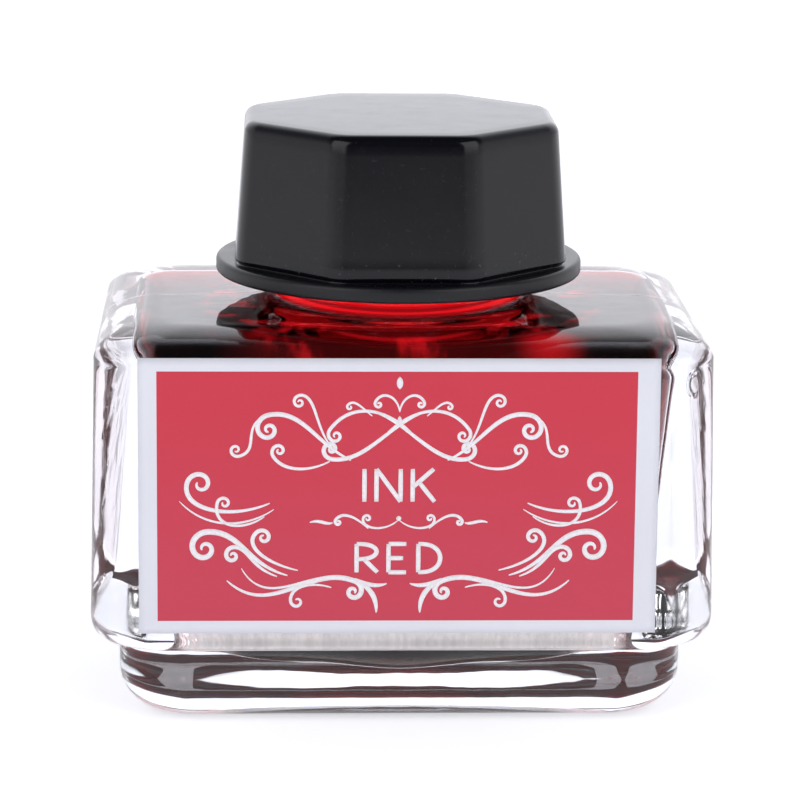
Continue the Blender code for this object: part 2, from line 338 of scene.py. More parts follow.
def add_cavity(rings, grow, backward):
    """The hollow's wall from the neck's bore to the middle of its floor, or backward.

    Each rounding is a quarter of an oval. The floor is a bowl, where (share of the
    radius)^p + (share of the depth)^2 = 1, and p is 2.3 at the ends and 4.3 at the front
    and back, so that those stand steeper.
    grow moves the wall outward: the liquid's skin lies a hair inside the glass, so that
    light is bent once at the wall, as it is where liquid wets glass.
    """
    angle = rings.angles
    wall = Rings(angle)
    # The rounded throat below the bore, onto the underside of the shoulder.
    a = steps(0, QUARTER, 8)
    z = CAVITY_HIGH_Z + THROAT * (1 - np.sin(a))
    wall.add(BORE + THROAT * (1 - np.cos(a)) + grow, z)
    # Under the shoulder, from the round throat to the squared hollow.
    rim = cavity_radius(angle, CAVITY_HIGH_Z, CAVITY_REACH) + grow
    t = steps(0, 1, 9, True)
    wall.add(BORE + THROAT + grow + (rim - BORE - THROAT - grow) * t, CAVITY_HIGH_Z + grow)
    a = steps(0, QUARTER, 13, True)
    z = CAVITY_HIGH_Z - CAVITY_DROP * (1 - np.cos(a))
    radius = cavity_radius(angle, z, CAVITY_REACH * (1 - np.sin(a))) + grow
    wall.add(radius, z + grow * np.cos(a))
    # The sides, and the bowl.
    z = steps(CAVITY_HIGH_Z - CAVITY_DROP, CAVITY_LOW_Z, 8, True)
    wall.add(cavity_radius(angle, z, 0) + grow, z)
    a = steps(QUARTER, 0, 26, True)[:-1]
    edge = cavity_radius(angle, CAVITY_LOW_Z, 0)
    deep = CAVITY_LOW_Z - CAVITY_FLOOR_Z
    power = 2.3 + 2.0 * np.sin(angle) ** 6
    radius = edge * np.sin(a) ** (2 / power) + grow * np.sin(a)
    wall.add(radius, CAVITY_LOW_Z - deep * np.cos(a) - grow * np.cos(a))
    t = steps(0.9, 0.1, 6)
    wall.add(radius[-1:] * t, CAVITY_FLOOR_Z - grow + 0.0005 * t)
    rings.join(wall, backward)


def make_glass():
    """The bottle's outside and its hollow, as one closed skin.

    The rings run from the middle of the underside over the foot, heel, body and shoulder,
    up the neck, over its rim and down the hollow. Each rounding is a quarter of an oval,
    whose reach and rise go with the sine and cosine of an angle.
    """
    angle = bottle_angles()
    rings = Rings(angle)
    # Underside: a shallow push-up inside a flat ring that the bottle stands on.
    flat = drawn_in(angle, FOOT_HALF, FOOT_EDGE, FOOT_CORNER - FOOT_EDGE + FOOT_SPREAD)
    t = steps(0.05, 1, 30)
    rings.add(flat * t, PUSH_UP * np.cos(QUARTER * np.minimum(t / PUSH_UP_SHARE, 1)) ** 0.9)
    # Foot: rounded lower edge, upright side, then the crease under the heel.
    a = steps(0, QUARTER, 19, True)
    inset = FOOT_EDGE * (1 - np.sin(a))
    corner = FOOT_CORNER - inset + FOOT_SPREAD * (1 - np.sin(a))
    rings.add(drawn_in(angle, FOOT_HALF, inset, corner), FOOT_EDGE * (1 - np.cos(a)))
    z = steps(FOOT_EDGE, HEEL_Z - CREASE, 4, True)
    rings.add(drawn_in(angle, FOOT_HALF, 0, FOOT_CORNER), z)
    a = steps(0, QUARTER, 6, True)
    out = CREASE * (1 - np.cos(a))
    z = HEEL_Z - CREASE + CREASE * np.sin(a)
    rings.add(drawn_in(angle, FOOT_HALF, -out, FOOT_CORNER + out), z)
    # Heel, body and shoulder.
    a = steps(0, QUARTER, 13, True)
    z = HEEL_Z + HEEL_RISE * (1 - np.cos(a))
    inset = (HEEL_REACH - CREASE) * (1 - np.sin(a))
    corner = BODY_CORNER + (HEEL_CORNER - BODY_CORNER) * (1 - np.sin(a))
    rings.add(drawn_in(angle, body_half(z), inset, corner), z)
    z = steps(HEEL_Z + HEEL_RISE, SHOULDER_Z - SHOULDER_DROP, 12, True)
    sides = drawn_in(angle, body_half(z), 0, BODY_CORNER)
    rings.add(sides + glass_wave(angle, z) - WAVE_ROOM, z)
    a = steps(0, QUARTER, 21, True)
    z = SHOULDER_Z - SHOULDER_DROP * (1 - np.sin(a) ** 0.92)
    inset = SHOULDER_REACH * (1 - np.cos(a))
    corner = BODY_CORNER + (SHOULDER_CORNER - BODY_CORNER) * (1 - np.cos(a))
    rings.add(drawn_in(angle, body_half(z), inset, corner), z)
    # Shoulder top: from the squared ring to a circle, rising a little to the neck.
    rim = drawn_in(angle, body_half(SHOULDER_Z)[:, 0, 0], SHOULDER_REACH, SHOULDER_CORNER)
    t = steps(0, 1, 12, True)
    rings.add(rim + (NECK + NECK_REACH - rim) * t, SHOULDER_Z + SHOULDER_RISE * t * t)
    # Neck: fillet, bead, thread, rolled rim, bore.
    neck_foot = SHOULDER_Z + SHOULDER_RISE
    a = steps(0, QUARTER, 9, True)
    rings.add(NECK + NECK_REACH * (1 - np.sin(a)), neck_foot + NECK_RISE * (1 - np.cos(a)))
    z = steps(neck_foot + NECK_RISE, THREAD_Z - THREAD_ROOM, 16, True)
    across = (BEAD_ROOT - np.abs(z - BEAD_Z)) / (BEAD_ROOT - BEAD_CREST)
    rings.add(NECK + BEAD_HEIGHT * smooth_step(across), z)
    thread_end = THREAD_Z + THREAD_TURNS * PITCH + THREAD_ROOM
    z = steps(THREAD_Z - THREAD_ROOM, thread_end, 42, True)
    rings.add(NECK + THREAD_HEIGHT * helix_ridge(angle, z, THREAD_Z), z)
    a = steps(0, math.pi, 13)
    radius = (NECK + BORE) / 2 + (NECK - BORE) / 2 * np.cos(a)
    rings.add(radius, MOUTH_Z - RIM_ROUND + RIM_ROUND * np.sin(a))
    rings.add(BORE, steps(MOUTH_Z - RIM_ROUND, CAVITY_HIGH_Z + THROAT, 8, True))
    add_cavity(rings, 0.0, False)
    return rings.skin("bottle_glass", "bottle", "glass_bottle")


def make_ink():
    """The liquid: the hollow's shape a hair larger, with a curved-up surface in the neck.

    A thin film clings to the bore above the level, and the surface curls up to it: its
    height over the level falls as exp(-distance / 0.6).
    """
    rings = Rings(bottle_angles())
    add_cavity(rings, INK_OVERLAP, True)
    rings.add(BORE + INK_OVERLAP, steps(CAVITY_HIGH_Z + THROAT, FILM_Z - 0.1, 12, True))
    rings.add(BORE - INK_FILM, steps(FILM_Z - 0.05, INK_LEVEL_Z + 1.6, 10))
    away = column([0.03, 0.12, 0.3, 0.6, 1.0, 1.6, 2.6, 4.0, 6.0, 8.0, 9.2])
    rings.add(BORE - INK_FILM - away, INK_LEVEL_Z + 1.5 * np.exp(-away / 0.6))
    return rings.skin("ink_fill", "bottle", "ink")


# ---------------------------------------------------------------- the cap and its liner


def make_cap():
    """The cap as one closed skin: a hollow octagon that narrows evenly upward, on a flange.

    The rings run from the middle of the ceiling down the bore with its ridge, out under
    the flange, over its rim, and up the octagon to the middle of the top.
    """
    corners = [math.pi / 8 + k * math.pi / 4 for k in range(8)]
    angle = gathered_angles(384, corners, 0.09, 2.2)
    bottom = CAP_LOW[2]
    top = CAP_HIGH[2]
    flange = CAP_HIGH[0]
    seat = bottom + FLANGE_HEIGHT

    def across(z):
        """Across the flats at height z."""
        return OCTAGON_BASE + (OCTAGON_TOP - OCTAGON_BASE) * (z - seat) / (top - seat)

    rings = Rings(angle)
    # Underside of the ceiling, down the bore with its ridge, out under the flange.
    flat = CAP_BORE - CAP_CEILING_ROUND
    rings.add(flat * steps(0.06, 1, 5), CAP_CEILING_Z)
    a = steps(0, QUARTER, 5, True)
    z = CAP_CEILING_Z - CAP_CEILING_ROUND * (1 - np.cos(a))
    rings.add(CAP_BORE - CAP_CEILING_ROUND * (1 - np.sin(a)), z)
    # The cap's ridge runs this far below the neck's: two crests, their slopes and the gap.
    overlap = (NECK + THREAD_HEIGHT) - (CAP_BORE - CAP_THREAD_HEIGHT)
    below = 2 * 0.45 + overlap * 0.4 / THREAD_HEIGHT + THREAD_GAP
    z = steps(CAP_CEILING_Z - CAP_CEILING_ROUND, bottom + CAP_MOUTH_RISE, 80, True)
    rings.add(CAP_BORE - CAP_THREAD_HEIGHT * helix_ridge(angle, z, THREAD_Z - below), z)
    a = steps(0, QUARTER, 6, True)
    z = bottom + CAP_MOUTH_RISE - CAP_MOUTH_RISE * np.sin(a)
    rings.add(CAP_BORE + CAP_MOUTH_REACH * (1 - np.cos(a)), z)
    rings.add(steps(CAP_BORE + CAP_MOUTH_REACH, flange - FLANGE_UNDER_ROUND, 5, True), bottom)
    # The flange's rounded rim, its top, and the narrow groove at the octagon's foot.
    a = steps(0, QUARTER, 6, True)
    radius = flange - FLANGE_UNDER_ROUND * (1 - np.sin(a))
    rings.add(radius, bottom + FLANGE_UNDER_ROUND * (1 - np.cos(a)))
    a = steps(0, QUARTER, 7)
    radius = flange - FLANGE_TOP_ROUND * (1 - np.cos(a))
    rings.add(radius, seat - FLANGE_TOP_ROUND + FLANGE_TOP_ROUND * np.sin(a))
    foot = octagon_radius(angle, across(seat), OCTAGON_CORNER)
    inner = flange - FLANGE_TOP_ROUND
    rings.add(inner + (foot - 0.15 - inner) * steps(0, 1, 4, True), seat)
    groove = column([0.3, 0.3, 0.15, 0.04, 0.0])
    rings.add(foot - groove, seat + column([0.0, 0.16, 0.27, 0.4, 0.6]))
    # The octagon's flats, the edge round the top, and the top.
    z = steps(seat + 0.6, top - CAP_EDGE, 14, True)
    rings.add(octagon_radius(angle, across(z), OCTAGON_CORNER), z)
    a = steps(0, QUARTER, 9, True)
    inset = CAP_EDGE * (1 - np.cos(a))
    z = top - CAP_EDGE + CAP_EDGE * np.sin(a)
    corner = OCTAGON_CORNER - inset * 0.6
    rings.add(octagon_radius(angle, across(z) - 2 * inset, corner), z)
    last = octagon_radius(angle, across(top) - 2 * CAP_EDGE, OCTAGON_CORNER - CAP_EDGE * 0.6)
    rings.add(last * steps(1, 0.05, 8, True), top)
    return rings.skin("cap_shell", "cap", "screw_cap")


def make_liner():
    """A round disc whose edge is half a circle."""
    rings = Rings(np.arange(128) / 128 * TURN)
    low = LINER_LOW[2]
    high = LINER_HIGH[2]
    half = (high - low) / 2
    flat = LINER_HIGH[0] - half
    rings.add(flat * steps(0.05, 1, 6), low)
    a = steps(-QUARTER, QUARTER, 11, True)[:-1]
    rings.add(flat + half * np.cos(a), low + half + half * np.sin(a))
    rings.add(flat * steps(1, 0.05, 6), high)
    return rings.skin("liner_disc", "liner", "cap_liner")


# ---------------------------------------------------------------- the label


LABEL_WIDTH = LABEL_HIGH[0] - LABEL_LOW[0]
LABEL_TALL = 26.9  # along the leaning face
LABEL_X = (LABEL_HIGH[0] + LABEL_LOW[0]) / 2
LABEL_Z = (LABEL_HIGH[2] + LABEL_LOW[2]) / 2
LABEL_GAP = 0.05  # from the glass to the paper's back
PAPER = 0.12
PRINT_LOW = 0.16  # the strokes' underside and top, from the glass
PRINT_HIGH = 0.192
PRINT_STACK = 0.00006  # each stroke stands this much over the one before


def on_label(u, v, lift):
    """A point on the front face: u to the right, v up it, lift out from the glass."""
    lean = math.atan(FLARE)
    face = BODY_HALF[1] + ((SHOULDER_Z + HEEL_Z) / 2 - LABEL_Z) * FLARE
    x = LABEL_X + u
    y = -face + v * math.sin(lean) - lift * math.cos(lean)
    z = LABEL_Z + v * math.cos(lean) + lift * math.sin(lean)
    return np.stack(np.broadcast_arrays(x, y, z), axis=-1)


def make_label():
    """A thin sheet: a front and a back grid joined round their edges.

    The front falls smoothly to 0.6 of the paper's thickness over the last 0.3 mm.
    """
    nu = 60
    nv = 34
    u = np.linspace(-LABEL_WIDTH / 2, LABEL_WIDTH / 2, nu)
    v = np.linspace(-LABEL_TALL / 2, LABEL_TALL / 2, nv)
    uu, vv = np.meshgrid(u, v)
    away = np.minimum(LABEL_WIDTH / 2 - np.abs(uu), LABEL_TALL / 2 - np.abs(vv))
    front = on_label(uu, vv, LABEL_GAP + PAPER * (0.6 + 0.4 * smooth_step(away / 0.3)))
    back = on_label(uu, vv, LABEL_GAP)
    points = np.concatenate([front.reshape(-1, 3), back.reshape(-1, 3)])
    j, i = np.meshgrid(np.arange(nv - 1), np.arange(nu - 1), indexing="ij")
    a = (j * nu + i).ravel()
    quads = np.stack([a, a + 1, a + nu + 1, a + nu], axis=-1)
    n = nu * nv
    behind = np.stack([a, a + nu, a + nu + 1, a + 1], axis=-1) + n
    i = np.arange(nu - 1)
    low = np.stack([i, i + n, i + n + 1, i + 1], axis=-1)
    i = np.arange(nu - 1) + (nv - 1) * nu
    high = np.stack([i, i + 1, i + n + 1, i + n], axis=-1)
    j = np.arange(nv - 1) * nu
    left = np.stack([j, j + nu, j + nu + n, j + n], axis=-1)
    j = np.arange(nv - 1) * nu + nu - 1
    right = np.stack([j, j + n, j + n + nu, j + nu], axis=-1)
    faces = np.concatenate([quads, behind, low, high, left, right])
    return mesh_object("label_paper", points, faces, "bottle", "front_label")


def curl(start, heading, radius, turns, count=44):
    """Points of a curl: its radius shrinks as exp(-1.25 * turns gone), its heading turning."""
    gone = np.linspace(0, abs(turns), count)
    way = heading + math.copysign(TURN, turns) * gone
    step = radius * np.exp(-1.25 * gone) * TURN * (gone[1] - gone[0])
    mid = (way[1:] + way[:-1]) / 2
    length = (step[1:] + step[:-1]) / 2
    u = start[0] + np.cumsum(length * np.cos(mid))
    v = start[1] + np.cumsum(length * np.sin(mid))
    return np.stack([u, v], axis=1)


def flourish(ends, radius=0.0, turns=0.0, count=40):
    """A four-point curve that runs on smoothly into a curl."""
    a, b, c, d = np.array(ends, float)
    t = np.linspace(0, 1, count)[:, None]
    path = a * (1 - t) ** 3 + 3 * b * t * (1 - t) ** 2 + 3 * c * t * t * (1 - t) + d * t**3
    if radius > 0:
        heading = math.atan2(d[1] - c[1], d[0] - c[0])
        path = np.concatenate([path, curl(d, heading, radius, turns)])
    return path


def bow(bottom, top, reach, count=24):
    """Half an oval from the top of a stem round to its bottom, as in a letter's bowl."""
    a = np.linspace(math.pi / 2, -math.pi / 2, count)
    u = bottom[0] + reach * np.maximum(np.cos(a), 0) ** 0.75
    v = (top[1] + bottom[1]) / 2 + (top[1] - bottom[1]) / 2 * np.sin(a)
    return np.stack([u, v], axis=1)


def line(start, end):
    """Six points of a straight stroke."""
    t = np.linspace(0, 1, 6)[:, None]
    return np.array(start) * (1 - t) + np.array(end) * t


def plain_letters():
    """INK above and RED below in plain even strokes, each letter in its own box."""
    strokes = []
    for text, middle, low, high in (("INK", 0.0, -0.45, 2.75), ("RED", 0.0, -7.4, -4.6)):
        tall = high - low
        wide = {"I": 0.0, "N": 2.3, "K": 2.0, "R": 1.9, "E": 1.7, "D": 2.1}
        gap = 1.15
        left = middle - (sum(wide[c] for c in text) + gap * 2) / 2
        for c in text:
            right = left + wide[c]
            half = low + tall * 0.5
            stem = line((left, low), (left, high))
            shapes = {
                "I": [stem],
                "N": [stem, line((left, high), (right, low)), line((right, low), (right, high))],
                "K": [
                    stem,
                    line((left, half - 0.2), (right, high)),
                    line((left + 0.6, half + 0.3), (right + 0.1, low)),
                ],
                "R": [
                    stem,
                    bow((left, half - 0.1), (left, high), wide[c]),
                    line((left + 0.7, half - 0.1), (right + 0.1, low)),
                ],
                "E": [
                    stem,
                    line((left, high), (right, high)),
                    line((left, half), (right - 0.3, half)),
                    line((left, low), (right, low)),
                ],
                "D": [stem, bow((left, low), (left, high), wide[c])],
            }
            strokes += [(path, 0.44, 0.9) for path in shapes[c]]
            left = right + gap
    return strokes


def scrollwork():
    """The scrolls of one half: a path, its greatest width and its width at the ends."""
    half = [
        # Arches and curls over the words.
        (flourish([(2.4, 8.3), (-1.2, 7.0), (-3.2, 3.3), (-6.4, 3.7)], 1.0, -1.4), 0.42, 0.3),
        (flourish([(1.4, 6.0), (-0.8, 8.4), (-4.4, 9.6), (-6.6, 6.6)], 0.85, 1.3), 0.34, 0.3),
        (flourish([(-4.6, 3.6), (-8.0, 5.2), (-9.2, 8.6), (-12.4, 8.0)], 1.45, 1.5), 0.46, 0.3),
        (flourish([(-6.2, 4.6), (-8.0, 6.4), (-7.8, 9.6), (-9.2, 9.9)], 0.75, 1.3), 0.3, 0.3),
        (flourish([(-12.0, 8.1), (-15.4, 7.4), (-13.0, 4.6), (-15.2, 4.0)], 0.7, -1.2), 0.3, 0.3),
        (flourish([(-6.6, 3.5), (-8.8, 2.3), (-11.2, 2.6), (-12.0, 4.0)], 0.8, -1.3), 0.34, 0.3),
        # The finial.
        (flourish([(0.0, 8.3), (-0.2, 9.9), (-1.7, 10.4), (-2.3, 9.3)], 0.42, 1.1), 0.28, 0.4),
        (flourish([(-2.6, 7.9), (-3.6, 8.7), (-4.3, 9.6), (-4.9, 9.0)], 0.3, 0.9), 0.24, 0.4),
        (line((0.0, 10.5), (0.0, 11.7)), 0.62, 0.1),
        (line((0.0, 7.9), (0.0, 7.0)), 0.42, 0.1),
        # Beside the words.
        (flourish([(-12.3, -0.6), (-15.8, -2.2), (-20.6, -1.4), (-20.2, 1.2)], 1.35, -1.1), 0.46, 0.25),
        (flourish([(-11.9, -1.2), (-14.6, -3.1), (-18.4, -3.2), (-20.9, -0.4)]), 0.22, 0.3),
        (flourish([(-12.8, -1.9), (-15.0, -3.5), (-17.8, -2.9), (-17.3, -0.6)], 0.7, -1.1), 0.32, 0.3),
        (flourish([(-10.6, -7.7), (-14.6, -6.6), (-15.0, -3.3), (-18.2, -3.4)], 1.7, 1.35), 0.56, 0.2),
        (flourish([(-11.6, -7.8), (-14.2, -6.9), (-14.2, -5.0), (-15.6, -4.9)], 0.9, 1.3), 0.42, 0.25),
        (flourish([(-9.6, -7.2), (-12.8, -6.5), (-14.8, -4.7), (-13.6, -3.5)], 0.85, -1.2), 0.4, 0.25),
        # Below the words.
        (flourish([(-16.4, -8.2), (-12.2, -12.2), (-8.4, -6.4), (-4.1, -8.3)], 1.05, -1.35), 0.5, 0.25),
        (flourish([(-15.0, -7.0), (-12.6, -11.4), (-8.2, -6.8), (-4.9, -8.0)]), 0.24, 0.3),
        (flourish([(-6.4, -8.9), (-8.6, -8.2), (-10.4, -8.9), (-10.3, -10.2)], 0.65, 0.9), 0.32, 0.3),
        (flourish([(-3.9, -8.3), (-2.7, -8.9), (-2.0, -9.9), (-2.1, -11.4)]), 0.5, 0.15),
        (flourish([(-4.2, -8.0), (-3.1, -8.6), (-2.2, -8.9), (-1.1, -8.5)]), 0.42, 0.15),
        # Between the words.
        (flourish([(-0.1, -2.3), (-1.4, -3.5), (-3.6, -3.1), (-3.4, -2.1)], 0.42, -1.1), 0.26, 0.3),
        (flourish([(-2.9, -3.1), (-4.2, -1.8), (-5.4, -1.4), (-6.0, -2.2)], 0.36, 1.1), 0.3, 0.3),
        (flourish([(-6.3, -2.5), (-6.9, -2.8), (-7.6, -2.1), (-8.5, -2.5)]), 0.32, 0.2),
        (line((-0.25, -2.1), (0.25, -2.1)), 0.5, 0.2),
    ]
    other = [(path * np.array([-1.0, 1.0]), width, end) for path, width, end in half]
    return half + other


def make_print():
    """Raised print: each stroke is a shallow closed bar laid along its path on the paper.

    Its half width goes from the ends' share to full as sin(pi * t)^0.6 along the path.
    """
    points = []
    faces = []
    first = 0
    for number, (path, width, end) in enumerate(scrollwork() + plain_letters()):
        n = len(path)
        along = np.gradient(path, axis=0)
        along /= np.maximum(np.linalg.norm(along, axis=1, keepdims=True), 1e-9)
        across = np.stack([-along[:, 1], along[:, 0]], axis=1)
        t = np.linspace(0, 1, n)[:, None]
        wide = width / 2 * (end + (1 - end) * np.sin(math.pi * t) ** 0.6)
        left = path + across * wide
        right = path - across * wide
        high = PRINT_HIGH + PRINT_STACK * number
        edges = [(left, PRINT_LOW), (left, high), (right, high), (right, PRINT_LOW)]
        rows = [on_label(side[:, 0], side[:, 1], lift) for side, lift in edges]
        points.append(np.stack(rows, axis=1).reshape(-1, 3))
        i = np.arange(n - 1)[:, None] * 4 + first
        k = np.arange(4)[None, :]
        m = (k + 1) % 4
        faces += np.stack([i + k, i + m, i + 4 + m, i + 4 + k], axis=-1).reshape(-1, 4).tolist()
        faces.append([first + 3, first + 2, first + 1, first])
        last = first + 4 * (n - 1)
        faces.append([last, last + 1, last + 2, last + 3])
        first += 4 * n
    points = np.concatenate(points)
    return mesh_object("label_scrolls", points, faces, "bottle", "front_label")


# ---------------------------------------------------------------- paints


class Socket:
    """A shader value that adds its Math nodes as an expression is written."""

    def __init__(self, nodes, socket):
        self.nodes = nodes
        self.socket = socket

    def math(self, operation, *values):
        return self.nodes.node("ShaderNodeMath", {"operation": operation}, values)

    def __add__(self, other):
        return self.math("ADD", self, other)

    def __radd__(self, other):
        return self.math("ADD", other, self)

    def __sub__(self, other):
        return self.math("SUBTRACT", self, other)

    def __rsub__(self, other):
        return self.math("SUBTRACT", other, self)

    def __mul__(self, other):
        return self.math("MULTIPLY", self, other)

    def __rmul__(self, other):
        return self.math("MULTIPLY", other, self)

    def squared(self):
        return self * self

    def root(self):
        return self.math("POWER", self, 0.5)

    def maximum(self, other):
        return self.math("MAXIMUM", self, other)

    def absolute(self):
        return self.math("ABSOLUTE", self)

    def step(self, start, end, low=0.0, high=1.0):
        """low below start, high above end, smooth between."""
        settings = {"interpolation_type": "SMOOTHSTEP"}
        return self.nodes.node("ShaderNodeMapRange", settings, (self, start, end, low, high))

    def band(self, start, full, fade, end):
        """1 from full to fade, 0 outside start and end, smooth between."""
        return self.step(start, full) * (1 - self.step(fade, end))

    def near(self, full, end):
        """1 within full of 0 on either side, 0 beyond end, smooth between."""
        return 1 - self.absolute().step(full, end)


class Nodes:
    """A node tree and the one way its nodes are made."""

    def __init__(self, tree):
        self.tree = tree

    def node(self, kind, settings=None, inputs=(), output=0):
        """Adds a node: settings first, then its sockets' values or links, by place or name."""
        node = self.tree.nodes.new(kind)
        for key, value in (settings or {}).items():
            setattr(node, key, value)
        pairs = inputs.items() if isinstance(inputs, dict) else enumerate(inputs)
        for key, value in pairs:
            self.feed(node.inputs[key], value)
        return Socket(self, node.outputs[output])

    def feed(self, socket, value):
        """Links a value from another node to a socket, or sets a plain one."""
        if isinstance(value, Socket):
            self.tree.links.new(value.socket, socket)
        else:
            socket.default_value = value


class Paint(Nodes):
    """A material and what its finish is made from."""

    def __init__(self, name):
        self.material = bpy.data.materials.new(name)
        self.material.use_nodes = True
        super().__init__(self.material.node_tree)
        self.shader = self.tree.nodes["Principled BSDF"]
        self.output = self.tree.nodes["Material Output"]

    def set(self, **values):
        """Sets or links the shader's own sockets: Base_Color stands for Base Color."""
        for key, value in values.items():
            self.feed(self.shader.inputs[key.replace("_", " ")], value)

    def where(self, scale=(1.0, 1.0, 1.0)):
        """The piece's own coordinates, in millimetres times a scale."""
        place = self.node("ShaderNodeTexCoord", output="Object")
        size = tuple(s / MM for s in scale)
        return self.node("ShaderNodeMapping", {}, {"Vector": place, "Scale": size})

    def noise(self, place, scale, detail=3.0, roughness=0.55):
        inputs = {"Vector": place, "Scale": scale, "Detail": detail, "Roughness": roughness}
        return self.node("ShaderNodeTexNoise", {}, inputs)

    def parts(self, place):
        """The X, Y and Z of a place."""
        node = self.tree.nodes.new("ShaderNodeSeparateXYZ")
        self.feed(node.inputs[0], place)
        return [Socket(self, out) for out in node.outputs]

    def mix(self, share, first, second):
        """A colour between two colours, each of them linked or three numbers."""
        first, second = [c if isinstance(c, Socket) else (*c, 1.0) for c in (first, second)]
        inputs = {0: share, 6: first, 7: second}
        return self.node("ShaderNodeMix", {"data_type": "RGBA"}, inputs, 2)

    def bump(self, height, strength, distance):
        inputs = {"Strength": strength, "Distance": distance, "Height": height}
        return self.node("ShaderNodeBump", {}, inputs)

    def wear(self, thing):
        thing.data.materials.clear()
        thing.data.materials.append(self.material)


def glass_paint():
    """Pressed glass: slow waves, a mould seam down both sides, and a stippled floor.

    The seam is a fine ridge in the plane Y = 0. The stipple lies on the bowl of the
    hollow and fades out up its sides. A small oval bubble sits near the right front edge,
    and the glass inside the lower corners is a little dull.
    """
    paint = Paint("clear_glass")
    place = paint.where()
    x, y, z = paint.parts(place)
    inside = x.near(22.5, 23.6) * y.near(14.4, 15.4)
    stipple = paint.noise(place, 1.9, 2.0, 0.6) * z.band(3.3, 3.45, 5.5, 11.0) * inside
    wave = paint.noise(place, 0.16, 2.0)
    outer = x.absolute().step(27.4, 27.8).maximum(z.step(38.6, 39.0))
    seam = y.near(0.03, 0.16) * z.band(9.0, 9.6, 39.3, 40.5) * outer
    oval = ((x - 27.5).squared() * 1.5 + (z - 34.6).squared() * 0.5).root()
    bubble = (oval - 0.75).near(0.05, 0.3) * (1 - y.step(-20.5, -20.0))
    dull = z.band(7.6, 8.4, 13.0, 16.0) * x.absolute().step(24.5, 26.5)
    height = 0.04 * wave + 0.8 * stipple + 0.12 * seam + 0.12 * bubble
    paint.set(
        Base_Color=(0.90, 0.91, 0.955, 1.0),
        Roughness=0.006 * wave + 0.13 * dull,
        IOR=1.5,
        Transmission_Weight=1.0,
        Normal=paint.bump(height, 1.0, 0.001),
    )
    return paint


def ink_paint():
    """Dark red liquid with a painted red glow where light comes down the neck.

    Besides the neck itself, the glow is painted faintly over the walls and on the front under
    the shoulder's edge: a soft cloud, an arc, a glowing spot to its right and patches round
    the neck. Along the lower front edge a pale painted highlight makes a rim. Painted shade
    darkens the middle of the bowl-shaped underside, with a thin amber edge, and pale
    deposits at both ends of it are painted as a glow.
    """
    clear = (1.0, 1.0, 1.0)
    amber = (0.62, 0.36, 0.14)
    # The colour of the painted shade on the underside.
    shade_black = (0.004, 0.004, 0.006)
    unlit = (0.0, 0.0, 0.0)
    # The colour of the painted red glow.
    glow_red = (1.0, 0.012, 0.02)
    # The colour of the painted pale highlight and glow low down.
    pale = (1.0, 0.94, 0.95)
    paint = Paint("red_ink")
    place = paint.where()
    x, y, z = paint.parts(place)
    out = (x.squared() + y.squared()).root()
    cloud = paint.noise(place, 0.3, 3.0)
    grains = paint.noise(place, 1.6, 4.0, 0.7)
    # Painted red glow in the neck, faintly over the walls, and under the shoulder.
    throat = (1 - out.step(10.2, 11.6)) * z.step(36.6, 38.0)
    front = x.near(12.0, 19.0) * z.step(24.0, 34.0) * (1 - y.step(-14.8, -14.0))
    bowed = y + 15.0 - 0.03 * x.squared()
    arc = bowed.near(0.05, 0.45) * x.near(5.5, 7.5) * z.step(34.0, 35.0)
    aside = ((x - 14.0).squared() * 0.4 + (y + 15.2).squared()).root()
    glow_blot = (1 - aside.step(0.2, 2.6)) * z.step(33.0, 34.5)
    patch = out.band(13.5, 15.5, 18.0, 22.0) * cloud.step(0.5, 0.66) * z.step(34.0, 35.5)
    wall_glow = z.band(6.0, 14.0, 33.0, 35.0) * (0.008 + 0.014 * cloud)
    # All of the painted red glow together.
    light = 0.3 * throat + front * (0.02 + 0.05 * cloud) + 0.2 * arc + 0.4 * glow_blot + 0.3 * patch
    # Painted pale highlight along the lower front edge, and pale deposits at both ends painted as a
    # glow.
    low_front = (1 - y.step(-13.6, -12.6)) * x.near(20.5, 22.3)
    rim = z.band(8.7, 9.3, 10.6, 11.6) * low_front * (0.4 + 0.5 * grains)
    # Pale deposits at both ends of the floor, painted as a glow.
    dregs_glow = (1 - z.step(7.5, 9.5)) * x.absolute().step(15.0, 18.0) * grains.step(0.35, 0.65)
    # The underside: painted shade in its middle, with a thin amber edge.
    ragged = z + 3.4 * (grains - 0.5)
    middle = x.near(17.0, 18.5) * (1 - z.step(9.0, 10.5))
    painted_shade_mask = ragged.step(5.3, 6.1) * middle
    fringe = ragged.step(4.4, 5.0) * middle
    paint.set(
        Base_Color=paint.mix(painted_shade_mask, paint.mix(fringe, clear, amber), shade_black),
        Emission_Color=paint.mix(dregs_glow * 0.35 + rim, paint.mix(light + wall_glow, unlit, glow_red), pale),
        Emission_Strength=1.0,
        Roughness=0.0,
        IOR=1.34,
        Transmission_Weight=1.0,
        Specular_Tint=(0.1, 0.1, 0.1, 1.0),
    )
    inputs = {"Color": (0.94, 0.0, 0.02, 1.0), "Density": 3000.0}
    depth = paint.node("ShaderNodeVolumeAbsorption", {}, inputs)
    paint.feed(paint.output.inputs["Volume"], depth)
    return paint


